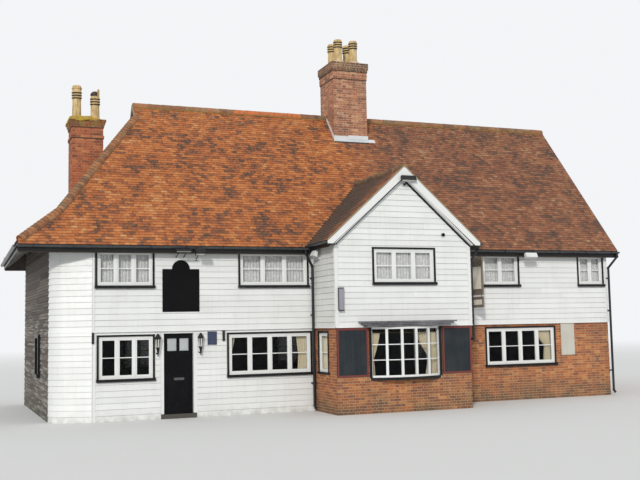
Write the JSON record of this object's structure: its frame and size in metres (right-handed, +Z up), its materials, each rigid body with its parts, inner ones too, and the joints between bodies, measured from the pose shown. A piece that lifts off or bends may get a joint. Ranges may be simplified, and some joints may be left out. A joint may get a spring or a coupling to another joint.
{
  "type": "weatherboarded village inn",
  "caption": "Hollow two-storey weatherboarded inn with a gabled front wing, a hipped left end, a bay window with a hood, brick stacks and a hinged front door.",
  "frame": {"origin": "on the ground under the middle of the main range", "axes": "+X along the front to the right as seen from the street, +Y back through the building, +Z up"},
  "size_m": [18.46, 9.6397, 11.75],
  "materials": {
    "floor": "worn flat paving under the ground floor",
    "floorboards": "plain boards on joists with a plaster ceiling below",
    "white_boards": "white gloss paint on feather-edge weatherboards",
    "weathered_boards": "unpainted weathered boards",
    "brick": "orange-red stock brick with pale mortar",
    "chimney_brick": "salmon-red brick with pale mortar",
    "roof_tiles": "mottled clay peg tiles with lichen",
    "ridge_clay": "half-round clay ridge tiles bedded in mortar",
    "buff_clay": "buff clay",
    "white_paint": "white gloss paint",
    "black_paint": "black gloss paint",
    "door_paint": "black gloss paint",
    "grey_paint": "grey matt paint",
    "board_wood": "black painted frame round a bare board",
    "sign_wood": "dark varnished wood",
    "black_plastic": "black rainwater goods",
    "black_metal": "black satin paint",
    "lead": "dull lead sheet",
    "glass": "clear window glass"
  },
  "bodies": {
    "building": {"ground_floor": "floor", "upper_floor": "floorboards", "front_wall_left_of_door": "white_boards", "front_wall_right_of_door": "white_boards", "front_wall_upper_left": "white_boards", "corner_wall": "white_boards", "left_side_wall": "weathered_boards", "rear_wall_lower": "white_boards", "rear_wall_upper": "white_boards", "right_gable_wall": "brick", "right_wall_lower": "brick", "right_wall_upper": "white_boards", "wing_wall_lower": "brick", "wing_gable_wall": "white_boards", "wing_left_wall": "white_boards", "wing_right_wall": "white_boards", "main_roof_front": "roof_tiles", "main_roof_rear": "roof_tiles", "left_hip_roof": "roof_tiles", "gablet": "white_boards", "wing_roof_left": "roof_tiles", "wing_roof_right": "roof_tiles", "ridge_tiles": "ridge_clay", "hip_tiles": "ridge_clay", "wing_bargeboards": "white_paint", "right_bargeboards": "black_paint", "fascias": "black_paint", "gutters": "black_plastic", "downpipes": "black_plastic", "corner_boards": "white_paint", "main_chimney": "chimney_brick", "main_chimney_lead": "lead", "left_chimney": "chimney_brick", "chimney_pots": "buff_clay", "upper_window_frames": "white_paint", "ground_window_frames": "white_paint", "bay_window_frame": "white_paint", "rear_window_frames": "white_paint", "window_trims": "black_paint", "front_glass": "glass", "rear_glass": "glass", "bay_surround": "black_paint", "bay_hood": "black_paint", "door_frame": "white_paint", "wall_sign": "black_paint", "menu_boards": "board_wood", "hanging_sign": "sign_wood", "board_panel": "grey_paint", "lanterns": "black_metal", "white_lamps": "white_paint"},
    "door": {"door_leaf": "door_paint", "door_panes": "glass"}
  },
  "joints": [
    {"name": "front_door_hinge", "type": "hinge", "parent": "building", "child": "door", "pos_m": [-6.222, -3.4455, 1.1], "axis": [0, 0, 1], "range_deg": [0, 90]}
  ]
}
